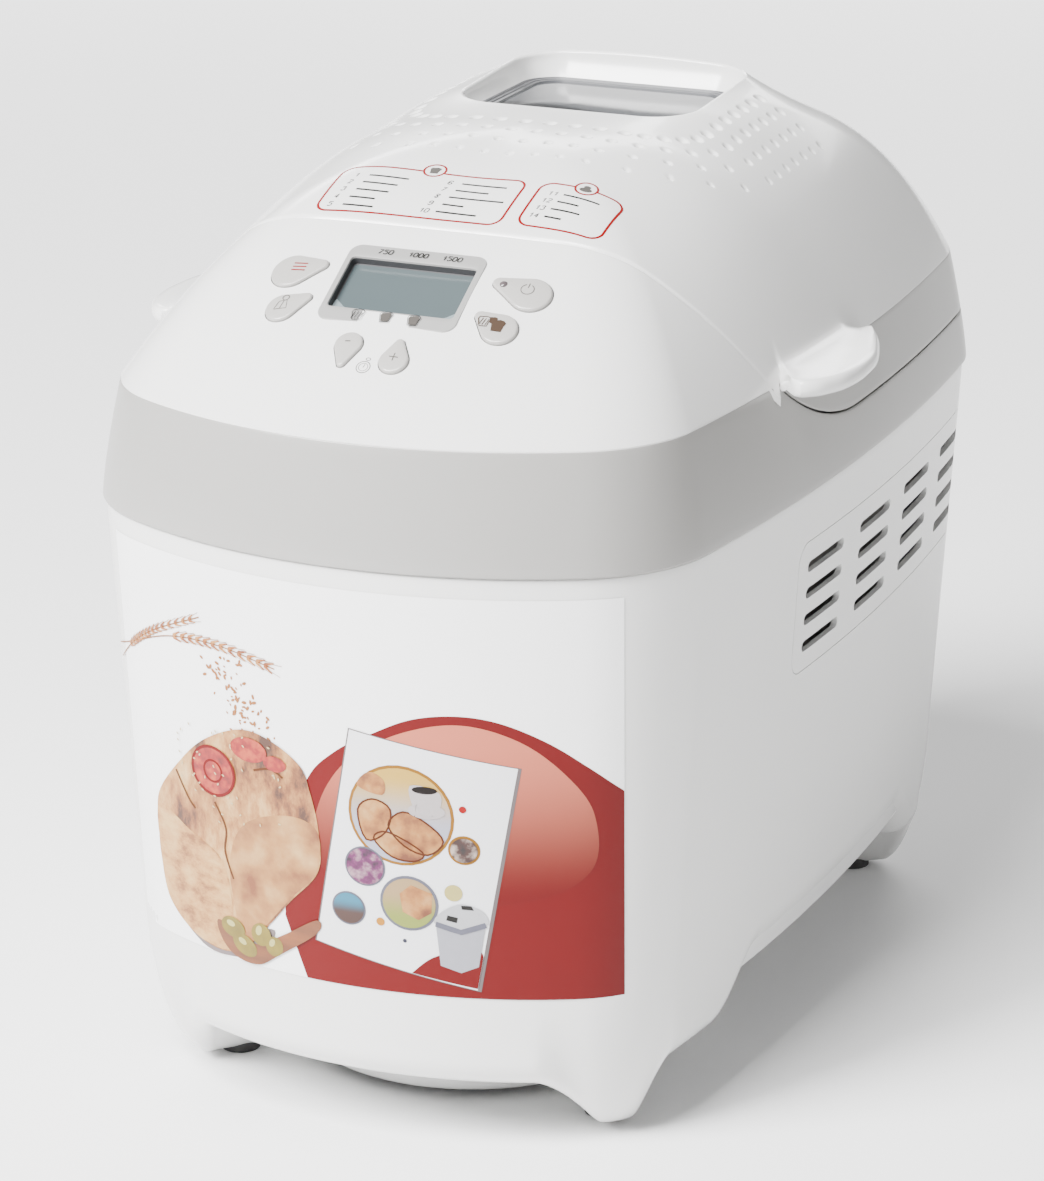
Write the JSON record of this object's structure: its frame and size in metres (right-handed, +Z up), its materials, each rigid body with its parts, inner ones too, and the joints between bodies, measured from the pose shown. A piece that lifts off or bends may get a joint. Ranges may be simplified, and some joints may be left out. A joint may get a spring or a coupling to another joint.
{
  "type": "bread machine",
  "caption": "Domestic bread machine with a domed hinged lid and window, sloping control face, display, push buttons, vented sides, moulded feet, and a lift-out pan driven by a belt.",
  "frame": {"origin": "on the resting plane, at the middle of the plan extents", "axes": "+Z up, the control face looks towards -Y, +X to the right of someone facing it"},
  "size_m": [0.299, 0.4132, 0.3702],
  "materials": {
    "white_gloss": "gloss",
    "band_grey": "satin",
    "button_grey": "satin",
    "bezel_silver": "satin",
    "dark_plastic": "matte",
    "base_grey": "matte",
    "label_film": "satin",
    "clear_pane": "gloss",
    "smoked_glass": "gloss",
    "lcd": "gloss",
    "board_green": "satin",
    "lamp_red": "gloss",
    "rubber": "matte",
    "steel": "brushed",
    "screw_steel": "satin",
    "chamber_steel": "satin",
    "pan_coating": "satin",
    "cast_aluminium": "satin",
    "bronze": "satin",
    "silicone": "matte",
    "nylon": "satin"
  },
  "bodies": {
    "housing": {"lower_housing": "white_gloss", "control_panel": "white_gloss", "trim_band": "band_grey", "vent_grille_right": "white_gloss", "vent_grille_left": "white_gloss", "base_plate": "base_grey", "chamber_surround": "base_grey", "cord_gland": "dark_plastic", "foot_pads": "rubber", "front_label": "label_film", "display_bezel": "bezel_silver", "display_window": "clear_pane", "display_module": "lcd", "control_board": "board_green", "button_switches": "dark_plastic", "status_lamp": "lamp_red", "hinge_brackets": "steel", "hinge_pins": "steel", "base_screws": "screw_steel", "baking_chamber": "chamber_steel", "chamber_spacers": "nylon", "heating_element": "steel", "heater_insulators": "nylon", "temperature_sensor": "steel", "thermal_fuse": "nylon", "pan_seat": "cast_aluminium", "pan_clips": "steel", "bearing_housing": "cast_aluminium", "spindle_bushes": "bronze", "drive_belt": "rubber", "motor": "steel", "motor_screws": "screw_steel", "run_capacitor": "nylon", "chassis_plate": "steel", "chassis_screws": "screw_steel", "power_board": "board_green", "power_components": "dark_plastic"},
    "lid": {"lid_shell": "white_gloss", "lid_rim": "band_grey", "lid_window": "smoked_glass", "lid_inner_window": "clear_pane", "lid_liner": "chamber_steel", "lid_gasket": "silicone"},
    "pan": {"bread_pan": "pan_coating", "pan_bush": "bronze"},
    "bail": {"pan_handle": "steel"},
    "mixer": {"pan_shaft": "steel"},
    "paddle": {"kneading_paddle": "pan_coating"},
    "drive": {"spindle": "steel", "drive_coupler": "cast_aluminium", "large_pulley": "nylon"},
    "rotor": {"motor_shaft": "steel", "motor_pulley": "cast_aluminium"},
    "button_menu": {"button_menu": "button_grey"},
    "button_weight": {"button_weight": "button_grey"},
    "button_start": {"button_start": "button_grey"},
    "button_crust": {"button_crust": "button_grey"},
    "button_minus": {"button_minus": "button_grey"},
    "button_plus": {"button_plus": "button_grey"}
  },
  "joints": [
    {"name": "lid_hinge", "type": "hinge", "parent": "housing", "child": "lid", "pos_m": [0, 0.198, 0.2598], "axis": [-1, 0, 0], "range_deg": [0, 80]},
    {"name": "pan_lift", "type": "slide", "parent": "housing", "child": "pan", "axis": [0, 0, 1], "range_m": [0, 0.05]},
    {"name": "bail_swing", "type": "hinge", "parent": "pan", "child": "bail", "pos_m": [0, 0.063, 0.226], "axis": [0, -1, 0], "range_deg": [0, 180]},
    {"name": "mixer_spin", "type": "hinge", "parent": "pan", "child": "mixer", "pos_m": [0, 0.063, 0.09], "axis": [0, 0, 1], "continuous": true},
    {"name": "paddle_lift", "type": "slide", "parent": "mixer", "child": "paddle", "axis": [0, 0, 1], "range_m": [0, 0.027]},
    {"name": "spindle_spin", "type": "hinge", "parent": "housing", "child": "drive", "pos_m": [0, 0.063, 0.06], "axis": [0, 0, 1], "continuous": true},
    {"name": "motor_spin", "type": "hinge", "parent": "housing", "child": "rotor", "pos_m": [0, -0.105, 0.06], "axis": [0, 0, 1], "continuous": true},
    {"name": "menu_press", "type": "slide", "parent": "housing", "child": "button_menu", "axis": [0, 0.4384, -0.8988], "range_m": [0, 0.001], "stiffness_N_per_m": 400, "springref_m": -0.0003},
    {"name": "weight_press", "type": "slide", "parent": "housing", "child": "button_weight", "axis": [0, 0.4384, -0.8988], "range_m": [0, 0.001], "stiffness_N_per_m": 400, "springref_m": -0.0003},
    {"name": "start_press", "type": "slide", "parent": "housing", "child": "button_start", "axis": [0, 0.4384, -0.8988], "range_m": [0, 0.001], "stiffness_N_per_m": 400, "springref_m": -0.0003},
    {"name": "crust_press", "type": "slide", "parent": "housing", "child": "button_crust", "axis": [0, 0.4384, -0.8988], "range_m": [0, 0.001], "stiffness_N_per_m": 400, "springref_m": -0.0003},
    {"name": "minus_press", "type": "slide", "parent": "housing", "child": "button_minus", "axis": [0, 0.4384, -0.8988], "range_m": [0, 0.001], "stiffness_N_per_m": 400, "springref_m": -0.0003},
    {"name": "plus_press", "type": "slide", "parent": "housing", "child": "button_plus", "axis": [0, 0.4384, -0.8988], "range_m": [0, 0.001], "stiffness_N_per_m": 400, "springref_m": -0.0003}
  ],
  "couplings": [
    {"joint": "spindle_spin", "follows": "motor_spin", "ratio": 0.21739},
    {"joint": "mixer_spin", "follows": "motor_spin", "ratio": 0.21739}
  ]
}
